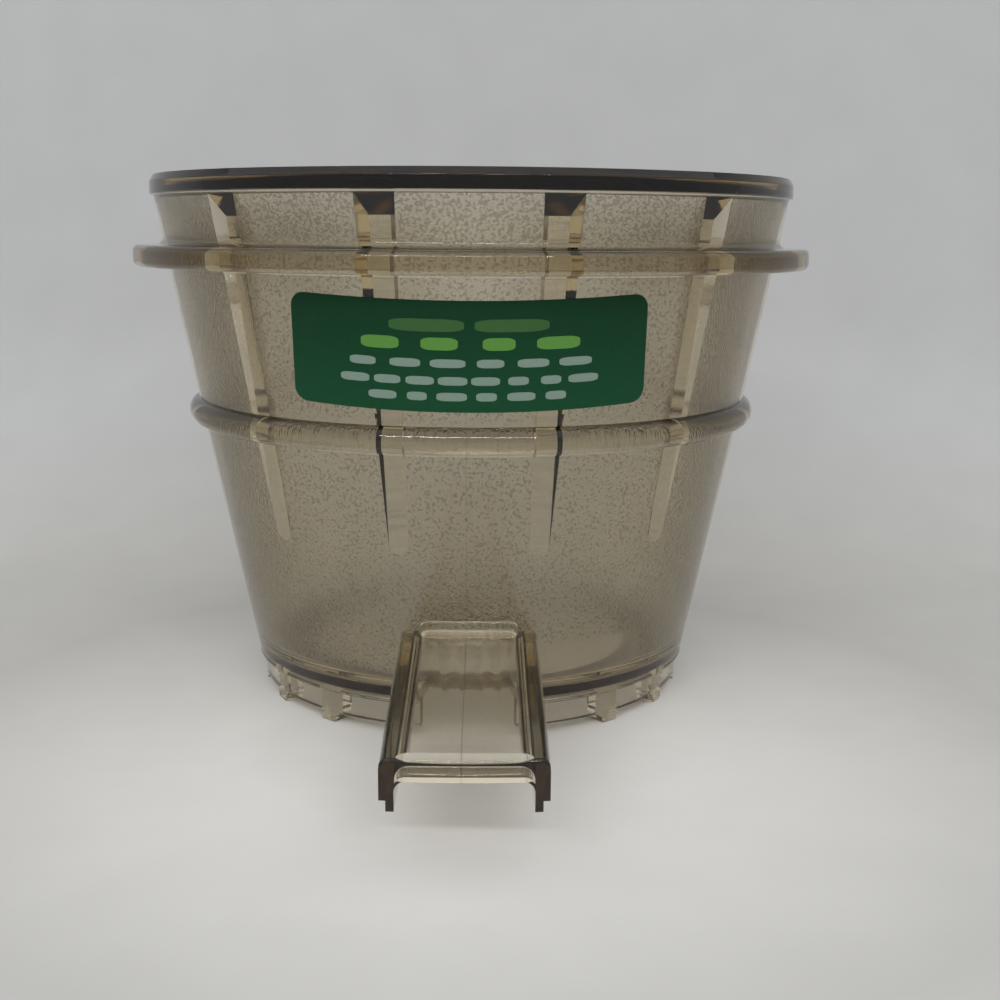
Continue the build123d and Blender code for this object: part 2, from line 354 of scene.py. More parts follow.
def rounded(corners, closed=True):
    """A polyline through (x, y, radius) corners, each turned by an arc of its radius."""
    line = []
    count = len(corners)
    for k, (x, y, radius) in enumerate(corners):
        here = Vector((x, y))
        inner = closed or 0 < k < count - 1
        if not inner or radius == 0:
            line.append(here)
            continue
        back = Vector(corners[k - 1][:2]) - here
        ahead = Vector(corners[(k + 1) % count][:2]) - here
        opening = back.angle(ahead)
        reach = min(radius / tan(opening / 2), 0.49 * back.length, 0.49 * ahead.length)
        size = reach * tan(opening / 2)
        centre = here + (back.normalized() + ahead.normalized()).normalized() * size / sin(opening / 2)
        start = here + back.normalized() * reach - centre
        turn = start.angle_signed(here + ahead.normalized() * reach - centre)
        steps = max(2, ceil(abs(turn) / ARC_STEP))
        line.extend(centre + Matrix.Rotation(-turn * i / steps, 2) @ start for i in range(steps + 1))
    return line


def new_object(name, verts, faces, source=None):
    """A mesh object from millimetre vertices, its faces outward, tagged with the solid they belong to."""
    mesh = bpy.data.meshes.new(name)
    mesh.from_pydata([Vector(v) * MM for v in verts], [], faces)
    shape = bmesh.new()
    shape.from_mesh(mesh)
    bmesh.ops.recalc_face_normals(shape, faces=shape.faces)
    shape.to_mesh(mesh)
    shape.free()
    if source is not None:
        tags = mesh.attributes.new("source", "INT", "FACE")
        tags.data.foreach_set("value", [source] * len(mesh.polygons))
    made = bpy.data.objects.new(name, mesh)
    bpy.context.collection.objects.link(made)
    return made


def revolved(name, profile, segments, source):
    """A ring solid: a closed (radius, height) profile turned about the axis."""
    size = len(profile)
    verts = []
    for k in range(segments):
        angle = 2 * pi * k / segments
        verts.extend((p.x * cos(angle), p.x * sin(angle), p.y) for p in profile)
    faces = []
    for k in range(segments):
        here, ahead = k * size, (k + 1) % segments * size
        for i in range(size):
            j = (i + 1) % size
            faces.append((here + i, ahead + i, ahead + j, here + j))
    return new_object(name, verts, faces, source)


def lofted(name, stations, source):
    """A solid through stations, each a chain of top points and a chain of low points below them."""
    width = len(stations[0][0])
    verts = []
    for tops, lows in stations:
        verts.extend(tops)
        verts.extend(reversed(lows))
    ring = 2 * width
    faces = []
    for s in range(len(stations) - 1):
        for i in range(ring):
            j = (i + 1) % ring
            faces.append((s * ring + i, s * ring + j, (s + 1) * ring + j, (s + 1) * ring + i))
    for s in (0, len(stations) - 1):
        for i in range(width - 1):
            under = ring - 1 - i
            faces.append((s * ring + i, s * ring + i + 1, s * ring + under - 1, s * ring + under))
    return new_object(name, verts, faces, source)


def bridged(name, first, second, source):
    """A solid between two outlines with as many points each."""
    count = len(first)
    faces = [tuple(range(count)), tuple(range(count, 2 * count))]
    faces.extend((i, (i + 1) % count, count + (i + 1) % count, count + i) for i in range(count))
    return new_object(name, first + second, faces, source)


def prism(name, outline, low, high, source):
    """A flat outline in X and Y, raised between two heights."""
    return bridged(name, [(x, y, low) for x, y in outline], [(x, y, high) for x, y in outline], source)


def settle(made):
    """Turns an object's evaluated modifiers into its own plain mesh."""
    graph = bpy.context.evaluated_depsgraph_get()
    mesh = bpy.data.meshes.new_from_object(made.evaluated_get(graph))
    made.modifiers.clear()
    spent = made.data
    made.data = mesh
    bpy.data.meshes.remove(spent)


def combine(base, tool, operation):
    """Joins a tool solid to the base, or cuts it out, and removes the tool."""
    step = base.modifiers.new(operation.lower(), "BOOLEAN")
    step.operation = operation
    step.solver = "MANIFOLD"
    step.object = tool
    settle(base)
    spent = tool.data
    bpy.data.objects.remove(tool)
    bpy.data.meshes.remove(spent)
    if not base.data.polygons:
        raise RuntimeError(f"{operation} left nothing of {base.name}")


def node_tree(name, inputs):
    """An empty geometry node tree with a geometry in and out, and the named inputs."""
    tree = bpy.data.node_groups.new(name, "GeometryNodeTree")
    tree.interface.new_socket("Geometry", in_out="INPUT", socket_type="NodeSocketGeometry")
    for label, kind in inputs:
        tree.interface.new_socket(label, in_out="INPUT", socket_type=kind)
    tree.interface.new_socket("Geometry", in_out="OUTPUT", socket_type="NodeSocketGeometry")
    return tree


def add_node(tree, kind, links=(), **settings):
    """Adds a node, sets its properties and links or sets the given inputs in order."""
    node = tree.nodes.new(kind)
    for key, value in settings.items():
        setattr(node, key, value)
    for socket, source in links:
        if isinstance(source, bpy.types.NodeSocket):
            tree.links.new(source, node.inputs[socket])
        else:
            node.inputs[socket].default_value = source
    return node


def maths(tree, operation, *values, **settings):
    """Result of a math node on the values in order."""
    return add_node(tree, "ShaderNodeMath", enumerate(values), operation=operation, **settings).outputs[0]


def axes_of(tree, vector):
    """The X, Y and Z of a vector."""
    return add_node(tree, "ShaderNodeSeparateXYZ", [(0, vector)]).outputs


def finish_tree(tree, geometry, group_in):
    """Ends a tree in Realize Instances and Set Material."""
    real = add_node(tree, "GeometryNodeRealizeInstances", [("Geometry", geometry)])
    links = [("Geometry", real.outputs[0]), ("Material", group_in.outputs["Material"])]
    paint = add_node(tree, "GeometryNodeSetMaterial", links)
    out = tree.nodes.new("NodeGroupOutput")
    tree.links.new(paint.outputs[0], out.inputs[0])


def ring_tree():
    """Geometry nodes that repeat a piece about the axis, at a first angle and a pitch."""
    tree = node_tree(
        "round_the_axis",
        [
            ("Count", "NodeSocketInt"),
            ("First Angle", "NodeSocketFloat"),
            ("Pitch", "NodeSocketFloat"),
            ("Material", "NodeSocketMaterial"),
        ],
    )
    given = tree.nodes.new("NodeGroupInput")
    index = tree.nodes.new("GeometryNodeInputIndex")
    pitch, first = given.outputs["Pitch"], given.outputs["First Angle"]
    angle = maths(tree, "MULTIPLY_ADD", index.outputs[0], pitch, first)
    turn = add_node(tree, "ShaderNodeCombineXYZ", [("Z", angle)])
    points = add_node(tree, "GeometryNodePoints", [("Count", given.outputs["Count"])])
    copies = add_node(
        tree, "GeometryNodeInstanceOnPoints",
        [
            ("Points", points.outputs[0]),
            ("Instance", given.outputs["Geometry"]),
            ("Rotation", turn.outputs[0]),
        ],
    )
    finish_tree(tree, copies.outputs[0], given)
    return tree


def run_tree(made, tree, values):
    """Runs a node tree on an object with the given inputs and keeps the plain mesh."""
    step = made.modifiers.new(tree.name, "NODES")
    step.node_group = tree
    for item in tree.interface.items_tree:
        if item.in_out == "INPUT" and item.name in values:
            step[item.identifier] = values[item.name]
    settle(made)


def outside_profile():
    """Filled section of the bowl's outside: (radius, height, edge round) corners from the shaft hole."""
    low, high = (Vector((wall_r(z), z)) for z in (BEAD_LOW, BEAD_HIGH))
    along = (high - low) / 2
    out = Vector((along.y, -along.x)).normalized() * BEAD_RISE
    turns = [pi * (step / BEAD_STEPS - 0.5) for step in range(BEAD_STEPS + 1)]
    bead = [(low + high) / 2 + along * sin(turn) + out * cos(turn) for turn in turns]
    corners = [
        (SHAFT_R, 0, 0.3),
        (SKIRT_IN_R, 0, 0.8),
        (SKIRT_IN_R, SKIRT_LOW, 0.4),
        (SKIRT_R, SKIRT_LOW, 0.4),
        (SKIRT_R, 0, 0.15),
        (RING_R, 0, 0.25),
        (RING_R, RING_TOP, 0.2),
        (wall_r(RING_TOP), RING_TOP, 0.15),
        *((point.x, point.y, 0) for point in bead),
        (wall_r(FLANGE_LOW), FLANGE_LOW, 0.8),
        (FLANGE_R, FLANGE_LOW, FLANGE_ROUND),
        (FLANGE_R, FLANGE_TOP, FLANGE_ROUND),
        (wall_r(FLANGE_TOP), FLANGE_TOP, 1.6),
        (wall_r(RIM_LOW), RIM_LOW, 0.6),
        (RIM_R, RIM_LOW, 0.35),
        (RIM_R, RIM_TOP - RIM_BEVEL_UP, 0.4),
        (RIM_R - RIM_BEVEL_IN, RIM_TOP, 0.15),
        (SHAFT_R, RIM_TOP, 0),
    ]
    return rounded(corners)


def lead_z(wall):
    """Height where the mouth's lead-in meets the inner wall."""
    return RIM_TOP - (LEAD_TOP_R - WALL_TOP_R + wall) * LEAD_SLOPE


def cavity_profile(wall):
    """Section of the bowl's inside, with the lead-in at its mouth and the collar round the shaft hole."""
    foot_of_lead = lead_z(wall)
    corners = [
        (COLLAR_R, FLOOR_THICK, 0.8),
        (wall_r(FLOOR_THICK) - wall, FLOOR_THICK, FLOOR_COVE),
        (WALL_BEAD_R - wall, BEAD_Z, 6.0),
        (wall_r(foot_of_lead) - wall, foot_of_lead, 0.3),
        (LEAD_TOP_R, RIM_TOP, 0),
        (LEAD_TOP_R, RIM_TOP + OVER, 0),
        (SHAFT_R - OVER, RIM_TOP + OVER, 0),
        (SHAFT_R - OVER, COLLAR_TOP, 0),
        (SHAFT_R, COLLAR_TOP, 0),
        (COLLAR_R, COLLAR_TOP, 0.4),
    ]
    return rounded(corners)


def spout_chain(half, radius, steps=8):
    """Across the spout: (x, drop below the roof's line) with rounded corners, from left to right."""
    turns = [pi / 2 * i / steps for i in range(steps + 1)]
    left = [(-half + radius * (1 - cos(turn)), radius * (1 - sin(turn))) for turn in turns]
    flat = [(x, 0.0) for x in np.linspace(-half + radius, half - radius, steps + 1)[1:-1]]
    return left + flat + [(-x, drop) for x, drop in reversed(left)]


def spout_solid(name, path, chain, low, front_r, source):
    """Solid below a roof line: path gives (reach, height) stations, and the front follows a circle."""
    stations = []
    for reach, top in path:
        bow = min(max((reach - (front_r - SPOUT_BOW_RUN)) / SPOUT_BOW_RUN, 0), 1)
        places = [(x, -reach + bow * (front_r - sqrt(front_r**2 - x**2)), drop) for x, drop in chain]
        tops = [(x, y, max(top - drop, low + 0.1)) for x, y, drop in places]
        lows = [(x, y, low) for x, y, _ in places]
        stations.append((tops, lows))
    return lofted(name, stations, source)


def roof_z(reach):
    """Height of the spout's straight roof at a reach from the axis."""
    high = SPOUT_ROOT_Z - SPOUT_ROOT_DROP
    return high + (SPOUT_FRONT_Z - high) * (reach - ROOT_REACH) / (SPOUT_REACH - ROOT_REACH)


def root_solid():
    """The ramp between the spout's legs, from its roof up the wall."""
    front = ROOT_REACH + 2 * OVER
    path = rounded(
        [
            (SHAFT_R + COLLAR_R, SPOUT_ROOT_Z, 0),
            (wall_r(SPOUT_ROOT_Z) + 0.5, SPOUT_ROOT_Z, 0.4),
            (wall_r(SPOUT_ROOT_Z) + 0.6, SPOUT_ROOT_Z - 0.7 * SPOUT_ROOT_DROP, 0.6),
            (front, roof_z(front) - 0.2, 0),
        ],
        closed=False,
    )
    chain = spout_chain(SPOUT_ROOT_HALF, SPOUT_ROOT_ROUND)
    return spout_solid("root", path, chain, LIP_LOW, 2 * SPOUT_REACH, HOOD)


def hood_solid():
    """The spout's roof and legs as one block, its front edge eased and its legs stepped at the foot."""
    path = rounded(
        [
            (SHAFT_R + COLLAR_R, SPOUT_ROOT_Z - SPOUT_ROOT_DROP, 0),
            (ROOT_REACH, SPOUT_ROOT_Z - SPOUT_ROOT_DROP, 0),
            (SPOUT_REACH - SPOUT_BOW_RUN, roof_z(SPOUT_REACH - SPOUT_BOW_RUN), 0),
            (SPOUT_REACH, SPOUT_FRONT_Z, 0.7),
            (SPOUT_REACH, LIP_LOW, 0),
        ],
        closed=False,
    )
    hood = spout_solid("hood", path, spout_chain(SPOUT_HALF, SPOUT_ROUND), SPOUT_LOW, SPOUT_REACH, HOOD)
    tongue = CHANNEL_HALF + TONGUE_WALL
    for side in (-1, 1):
        outline = [
            (side * tongue, -SPOUT_REACH - OVER),
            (side * 2 * SPOUT_HALF, -SPOUT_REACH - OVER),
            (side * 2 * SPOUT_HALF, 0),
            (side * tongue, 0),
        ]
        combine(hood, prism("rabbet", outline, SPOUT_LOW - OVER, TONGUE_TOP, HOOD), "DIFFERENCE")
    return hood


def channel_solid(wall):
    """The space under the spout's roof, whose ceiling slants down to the lip in front."""
    front = SPOUT_REACH - LIP_DEPTH
    ceiling = SPOUT_ROOT_Z - SPOUT_ROOT_DROP - SPOUT_ROOF
    path = rounded(
        [
            (wall_r(FLOOR_THICK) - wall - 3.0, ceiling - 3.0, 0),
            (wall_r(SPOUT_ROOT_Z) - wall - OVER, ceiling, 2.0),
            (front - (LIP_HIGH - LIP_LOW) / LIP_SLOPE, LIP_HIGH, 0.5),
            (front, LIP_LOW, 0),
        ],
        closed=False,
    )
    chain = spout_chain(CHANNEL_HALF, CHANNEL_ROUND)
    return spout_solid("channel", path, chain, FLOOR_THICK + 0.02, 2 * SPOUT_REACH, CHANNEL)


def gate_solid():
    """The opening below the lip, with rounded upper corners."""
    chain = spout_chain(CHANNEL_HALF - 0.01, LIP_ROUND)
    path = [(SPOUT_REACH / 2, LIP_LOW), (SPOUT_REACH + OVER, LIP_LOW)]
    return spout_solid("gate", path, chain, OVER, 2 * SPOUT_REACH, GATE)


def notch_solid():
    """Sector cut through the floor's edge and the skirt below the spout."""
    angles = [NOTCH_HALF_ANGLE * (2 * i / NOTCH_STEPS - 1) for i in range(NOTCH_STEPS + 1)]
    inner = [(NOTCH_IN_R * sin(a), -NOTCH_IN_R * cos(a)) for a in angles]
    outer_r = RING_R + 4 * OVER
    outer = [(outer_r * sin(a), -outer_r * cos(a)) for a in reversed(angles)]
    return prism("notch", inner + outer, FOOT_Z - OVER, FLOOR_THICK + OVER, NOTCH)


def seat_depth(inner, out, wall):
    """How far a rib reaches from its face to the middle of the wall."""
    depth = 0.0
    for _ in range(8):
        depth = (wall_r((inner + out * depth).y) - wall / 2 - inner.x) / out.x
    return depth


def rib_solid(sizes):
    """One inner rib on the X axis: a leaning face with drafted sides, cut at the mouth's lead-in."""
    wall, depth, half = sizes.wall / MM, sizes.rib_depth / MM, sizes.rib_face / MM / 2
    top_z = lead_z(wall) - depth * LEAD_SLOPE
    top = Vector((wall_r(top_z) - wall - depth, top_z))
    end = Vector((wall_r(sizes.rib_end / MM) - wall, sizes.rib_end / MM))
    along = (top - end).normalized()
    out = Vector((along.y, -along.x))
    lean = tan(sizes.rib_draft)
    round_end = [half * (1 - cos(pi / 2 * i / 6)) for i in range(1, 7)]
    straight = list(np.linspace(half, (top - end).length, 16))[1:-1]
    stations = []
    for run in round_end + straight:
        inner = end + along * run
        width = sqrt(half**2 - max(half - run, 0) ** 2)
        stations.append((inner, width, out * seat_depth(inner, out, wall)))
    rim_foot = Vector((wall_r(lead_z(wall)) - wall / 2, lead_z(wall) + wall / 2 * LEAD_SLOPE))
    stations.append((top, half, rim_foot - top))
    verts = []
    for inner, width, reach in stations:
        outer = inner + reach
        spread = width + lean * reach.dot(out)
        verts.extend(((inner.x, -width, inner.y), (inner.x, width, inner.y)))
        verts.extend(((outer.x, spread, outer.y), (outer.x, -spread, outer.y)))
    last = 4 * (len(stations) - 1)
    faces = [(0, 1, 2, 3), (last, last + 1, last + 2, last + 3)]
    for s in range(0, last, 4):
        faces.extend((s + i, s + (i + 1) % 4, s + 4 + (i + 1) % 4, s + 4 + i) for i in range(4))
    return new_object("ribs", verts, faces, RIB)


def foot_solid():
    """One foot on the X axis: a block down the skirt with flared flanks below it."""
    half_outline = [
        (FOOT_END, FOOT_Z, 0.3),
        (FOOT_WAIST, SKIRT_LOW - 0.5, 1.2),
        (FOOT_SHOULDER, SKIRT_LOW, 0),
        (FOOT_SHOULDER, FLOOR_THICK / 2, 0),
    ]
    left = [(-x, z, radius) for x, z, radius in reversed(half_outline)]
    outline = rounded(left[-1:] + half_outline + left[:-1])
    inner_r, outer_r = SKIRT_R - FOOT_DEPTH, SKIRT_R - FOOT_INSET
    inner = [(inner_r, p.x, p.y) for p in outline]
    outer = [(sqrt(outer_r**2 - p.x**2), p.x, p.y) for p in outline]
    return bridged("feet", inner, outer, FOOT)


def profile_ends(profile):
    """Unit normals at both ends of each segment of a closed profile, shared where it turns gently."""
    points = np.array([tuple(p) for p in profile])
    runs = np.roll(points, -1, axis=0) - points
    lengths = np.linalg.norm(runs, axis=1)
    flat = np.stack((runs[:, 1], -runs[:, 0]), axis=1) / lengths[:, None]
    before = np.roll(flat, 1, axis=0)
    blend = flat * lengths[:, None] + before * np.roll(lengths, 1)[:, None]
    blend /= np.maximum(np.linalg.norm(blend, axis=1), 1e-9)[:, None]
    gentle = (flat * before).sum(axis=1) > SMOOTH_COS
    starts = np.where(gentle[:, None], blend, flat)
    after = np.roll(gentle, -1)
    ends = np.where(after[:, None], np.roll(blend, -1, axis=0), flat)
    return points, runs, lengths, starts, ends


def ring_normals(corner_places, face_places, face_normals, face_of_corner, profile):
    """Normals of a turned surface at face corners, read from its profile."""
    points, runs, lengths, starts, ends = profile_ends(profile)
    middle = np.stack((np.hypot(face_places[:, 0], face_places[:, 1]), face_places[:, 2]), axis=1)
    nearest = np.zeros(len(middle), dtype=int)
    best = np.full(len(middle), np.inf)
    for k in range(len(points)):
        offset = middle - points[k]
        share = np.clip(offset @ runs[k] / lengths[k] ** 2, 0, 1)
        gap = np.linalg.norm(offset - share[:, None] * runs[k], axis=1)
        closer = gap < best
        best[closer] = gap[closer]
        nearest[closer] = k
    segment = nearest[face_of_corner]
    radius = np.hypot(corner_places[:, 0], corner_places[:, 1])
    flat = np.stack((radius, corner_places[:, 2]), axis=1)
    share = ((flat - points[segment]) * runs[segment]).sum(axis=1) / lengths[segment] ** 2
    share = np.clip(share, 0, 1)[:, None]
    blend = starts[segment] * (1 - share) + ends[segment] * share
    spoke = corner_places[:, :2] / radius[:, None]
    normals = np.column_stack((blend[:, :1] * spoke, blend[:, 1]))
    normals /= np.linalg.norm(normals, axis=1)[:, None]
    inward = (normals * face_normals[face_of_corner]).sum(axis=1) < 0
    normals[inward] *= -1
    return normals


def read(items, key, width=1, kind=float):
    """One property of every item, as an array or as rows of the given width."""
    values = np.empty(len(items) * width, dtype=kind)
    items.foreach_get(key, values)
    return values.reshape(-1, width) if width > 1 else values


def smooth_moulding(mesh, profiles):
    """Sets the shading normals: from the profiles on turned faces, weighted by area on the others."""
    places = read(mesh.vertices, "co", 3) / MM
    centres = read(mesh.polygons, "center", 3) / MM
    facing = read(mesh.polygons, "normal", 3)
    areas = read(mesh.polygons, "area")
    vertex = read(mesh.loops, "vertex_index", kind=int)
    source = read(mesh.attributes["source"].data, "value", kind=int)
    faces = len(mesh.polygons)
    owner = np.repeat(np.arange(faces), read(mesh.polygons, "loop_total", kind=int))
    normals = facing[owner].copy()
    for tag, profile in profiles.items():
        chosen = np.flatnonzero(source == tag)
        place_of = np.full(faces, -1)
        place_of[chosen] = np.arange(len(chosen))
        mine = np.flatnonzero(source[owner] == tag)
        normals[mine] = ring_normals(
            places[vertex[mine]], centres[chosen], facing[chosen], place_of[owner[mine]], profile
        )
    around = {}
    loose = np.flatnonzero(~np.isin(source[owner], list(profiles)))
    for corner in loose:
        around.setdefault((vertex[corner], source[owner[corner]]), []).append(owner[corner])
    for corner in loose:
        face = owner[corner]
        near = np.array(around[(vertex[corner], source[face])])
        near = near[facing[near] @ facing[face] > SMOOTH_COS]
        total = (facing[near] * areas[near, None]).sum(axis=0)
        normals[corner] = total / np.linalg.norm(total)
    mesh.shade_smooth()
    mesh.normals_split_custom_set(normals)
    return centres, facing, source


def mark_grain(mesh, centres, facing, source, wall):
    """Tags the grained faces, which are the inner wall, floor and ribs, and the floor's frosted faces."""
    upright = np.abs(facing[:, 2]) < 0.5
    low, high = FLOOR_THICK + 3.0, lead_z(wall)
    grained = (source == CAVITY) & upright & (centres[:, 2] > low) & (centres[:, 2] < high)
    grained &= np.hypot(centres[:, 0], centres[:, 1]) > COLLAR_R + OVER
    floor = (source == CAVITY) & (facing[:, 2] > 0.9) & (centres[:, 2] < FLOOR_THICK + OVER)
    under = (source == OUTSIDE) & (facing[:, 2] < -0.9) & (np.abs(centres[:, 2]) < 0.1)
    marks = {
        "grain": grained + FLOOR_GRAIN * floor + RIB_GRAIN * (source == RIB),
        "frost": np.float32(floor | under),
    }
    for name, values in marks.items():
        mesh.attributes.new(name, "FLOAT", "FACE").data.foreach_set("value", values)


def material(name):
    """A fresh node material, with its tree and its shader."""
    made = bpy.data.materials.new(name)
    made.use_nodes = True
    tree = made.node_tree
    return made, tree, next(node for node in tree.nodes if node.type == "BSDF_PRINCIPLED")


def output_of(tree):
    """The output node of a material."""
    return next(node for node in tree.nodes if node.type == "OUTPUT_MATERIAL")


def object_place(tree):
    """A point's place in its object."""
    return add_node(tree, "ShaderNodeTexCoord").outputs["Object"]


def ramp(tree, value, low, high, start=0.0, end=1.0):
    """A clamped ramp from the start at the low value to the end at the high value."""
    sockets = [("Value", value), ("From Min", low), ("From Max", high), ("To Min", start), ("To Max", end)]
    return add_node(tree, "ShaderNodeMapRange", sockets).outputs[0]


def away(tree, value, middle):
    """Distance of a value from a middle."""
    return maths(tree, "ABSOLUTE", maths(tree, "SUBTRACT", value, middle))


def noise(tree, place, scale, detail=0.0):
    """Noise of a scale over a place."""
    sockets = [("Vector", place), ("Scale", scale), ("Detail", detail)]
    return add_node(tree, "ShaderNodeTexNoise", sockets).outputs["Fac"]


def mixed(tree, share, first, second, blend="MIX"):
    """A mix of two colours, each a socket or plain red, green and blue."""
    sockets = [("Fac", share)]
    for name, colour in (("Color1", first), ("Color2", second)):
        sockets.append((name, colour if isinstance(colour, bpy.types.NodeSocket) else (*colour, 1.0)))
    return add_node(tree, "ShaderNodeMixRGB", sockets, blend_type=blend).outputs[0]


def mottled(tree, colour, mottle, spread):
    """A colour that a noise makes lighter and darker by a share."""
    factor = ramp(tree, mottle, 0.0, 1.0, 1 - spread, 1 + spread)
    links = [(0, colour), ("Scale", factor)]
    return add_node(tree, "ShaderNodeVectorMath", links, operation="SCALE").outputs[0]


def window_mask(tree, place):
    """0 in the polished window low on the front wall, right of the spout, and 1 elsewhere."""
    axes = axes_of(tree, place)
    off_middle = away(tree, axes["X"], WINDOW_X * MM)
    across = ramp(tree, off_middle, WINDOW_HALF * MM, (WINDOW_HALF + WINDOW_FADE) * MM)
    above = ramp(tree, axes["Z"], WINDOW_TOP * MM, (WINDOW_TOP + WINDOW_TOP_FADE) * MM)
    behind = ramp(tree, axes["Y"], -WINDOW_BACK * MM, WINDOW_BACK * MM)
    return maths(tree, "MAXIMUM", maths(tree, "MAXIMUM", across, above), behind)


def seam_mask(tree, place):
    """1 on the mould's parting line down the front of the wall and the spout, and 0 elsewhere."""
    axes = axes_of(tree, place)
    off_line = ramp(tree, away(tree, axes["X"], SEAM_X * MM), SEAM_HALF * MM, SEAM_EDGE * MM)
    slope = (WALL_BEAD_R - WALL_BOTTOM_R) / BEAD_Z
    skin = maths(tree, "MULTIPLY_ADD", axes["Z"], slope, axes["Y"])
    inside = ramp(tree, skin, (SEAM_DEPTH - WALL_BOTTOM_R) * MM, (SEAM_END - WALL_BOTTOM_R) * MM)
    return maths(tree, "SUBTRACT", 1.0, maths(tree, "MAXIMUM", off_line, inside))


def grain_with_painted_shade(tree, place, grained, finish):
    """White with dark pits where the wall is grained, more above the flange and fewer behind the bead. The
    grain is real, and the pits' darkness is painted shade for light they bend away.
    """
    height = axes_of(tree, place)["Z"]
    pits = noise(tree, place, 1 / finish.pit_pitch)
    above = ramp(tree, height, FLANGE_LOW * MM, FLANGE_TOP * MM)
    bare = ramp(tree, maths(tree, "MULTIPLY_ADD", above, -PIT_EXTRA, pits), PIT_LEVEL, BARE_LEVEL)
    off_bead = away(tree, height, BEAD_Z * MM)
    calm = ramp(tree, off_bead, CALM_NEAR * MM, CALM_FAR * MM, CALM_SHARE)
    painted_pit_share = maths(tree, "SUBTRACT", maths(tree, "MULTIPLY", grained, calm), bare, use_clamp=True)
    return mixed(tree, painted_pit_share, (1.0, 1.0, 1.0), finish.pit_painted_shade)


def plastic_roughness(tree, place, grained, finish):
    """Gloss outside, duller on the grain and frosted on the edge of the floor."""
    rough = ramp(tree, grained, 0.0, 1.0, GLOSS_ROUGH, GRAIN_ROUGH)
    ripple = noise(tree, place, RIPPLE_SHARE / finish.grain_pitch)
    uneven = maths(tree, "MULTIPLY_ADD", ripple, RIPPLE_ROUGH, rough)
    frost = add_node(tree, "ShaderNodeAttribute", attribute_name="frost").outputs["Fac"]
    span = add_node(tree, "ShaderNodeVectorMath", [(0, place)], operation="LENGTH").outputs["Value"]
    edge = maths(tree, "MULTIPLY", frost, ramp(tree, span, FROST_IN_R * MM, FROST_R * MM))
    return maths(tree, "MULTIPLY_ADD", edge, FROST_ROUGH, uneven)


def smoky_plastic(finish):
    """Clear smoky moulding: gloss outside, pebbled where the grain tag is set, with pits of painted shade,
    tinted through its depth.
    """
    made, tree, shader = material("smoky_plastic")
    shader.inputs["Transmission Weight"].default_value = 1.0
    shader.inputs["IOR"].default_value = finish.index
    place = object_place(tree)
    grain = add_node(tree, "ShaderNodeAttribute", attribute_name="grain").outputs["Fac"]
    grained = maths(tree, "MULTIPLY", grain, window_mask(tree, place))
    # Painted shade in the grain's pits, multiplied into the base colour
    painted_pits = grain_with_painted_shade(tree, place, grained, finish)
    seamed = mixed(tree, seam_mask(tree, place), painted_pits, finish.seam_shade, "MULTIPLY")
    tree.links.new(seamed, shader.inputs["Base Color"])
    height = maths(tree, "MULTIPLY", noise(tree, place, 1 / finish.grain_pitch), grained)
    lump = add_node(
        tree, "ShaderNodeBump", [("Height", height), ("Distance", finish.grain_height), ("Strength", 1.0)]
    )
    tree.links.new(lump.outputs["Normal"], shader.inputs["Normal"])
    tree.links.new(plastic_roughness(tree, place, grained, finish), shader.inputs["Roughness"])
    smoke = [("Color", (*finish.smoke, 1.0)), ("Density", finish.smoke_density)]
    depth = add_node(tree, "ShaderNodeVolumeAbsorption", smoke)
    tree.links.new(depth.outputs[0], output_of(tree).inputs["Volume"])
    return made


def film_material(finish):
    """Satin green film with a faint mottle, lighter at its foot as a painted reflection of the floor and
    darker at its head as painted shade.
    """
    made, tree, shader = material("label_film")
    place = object_place(tree)
    mottle = noise(tree, place, 900.0, 2.0)
    rise = ramp(tree, axes_of(tree, place)["Z"], LABEL_LOW * MM, LABEL_HIGH * MM)
    # Painted reflection at the film's foot, running to painted shade at its head
    green = mixed(tree, rise, finish.film_low_painted_sheen, finish.film_high_painted_shade)
    tree.links.new(mottled(tree, green, mottle, 0.1), shader.inputs["Base Color"])
    tree.links.new(ramp(tree, mottle, 0.0, 1.0, 0.28, 0.36), shader.inputs["Roughness"])
    shader.inputs["Specular IOR Level"].default_value = 0.15
    return made


def print_material(name, colour):
    """Matt ink with a little unevenness."""
    made, tree, shader = material(name)
    speckle = noise(tree, object_place(tree), 2500.0, 2.0)
    shade = mixed(tree, speckle, [0.9 * c for c in colour], [1.1 * c for c in colour])
    tree.links.new(shade, shader.inputs["Base Color"])
    shader.inputs["Roughness"].default_value = 0.45
    return made


def paper_material(stage):
    """Pale paper for the floor and backdrop, seen only from its face, with a painted pool of light on the
    floor below the part in place of the light that comes through the plastic.
    """
    made, tree, shader = material("pale_paper")
    place = object_place(tree)
    # Painted pool of light round a point below the spout, fading out to the plain floor colour
    middle = (0.0, PAINTED_GLOW_Y * MM, FOOT_Z * MM)
    ends = [(0, place), (1, middle)]
    span = add_node(tree, "ShaderNodeVectorMath", ends, operation="DISTANCE").outputs["Value"]
    outward = ramp(tree, span, PAINTED_GLOW_R * MM, PAINTED_GLOW_FADE_R * MM)
    glowing_floor = mixed(tree, outward, stage.painted_glow_colour, stage.floor_colour)
    rise = ramp(tree, axes_of(tree, place)["Z"], FOOT_Z * MM, BACKDROP_Z * MM)
    shade = mixed(tree, rise, glowing_floor, stage.backdrop_colour)
    paper = mottled(tree, shade, noise(tree, place, 60.0, 2.0), 0.04)
    tree.links.new(paper, shader.inputs["Base Color"])
    shader.inputs["Roughness"].default_value = 0.9
    shader.inputs["Specular IOR Level"].default_value = 0.1
    behind = add_node(tree, "ShaderNodeNewGeometry").outputs["Backfacing"]
    clear = add_node(tree, "ShaderNodeBsdfTransparent").outputs[0]
    sheet = add_node(tree, "ShaderNodeMixShader", [("Fac", behind), (1, shader.outputs[0]), (2, clear)])
    tree.links.new(sheet.outputs[0], output_of(tree).inputs["Surface"])
    return made


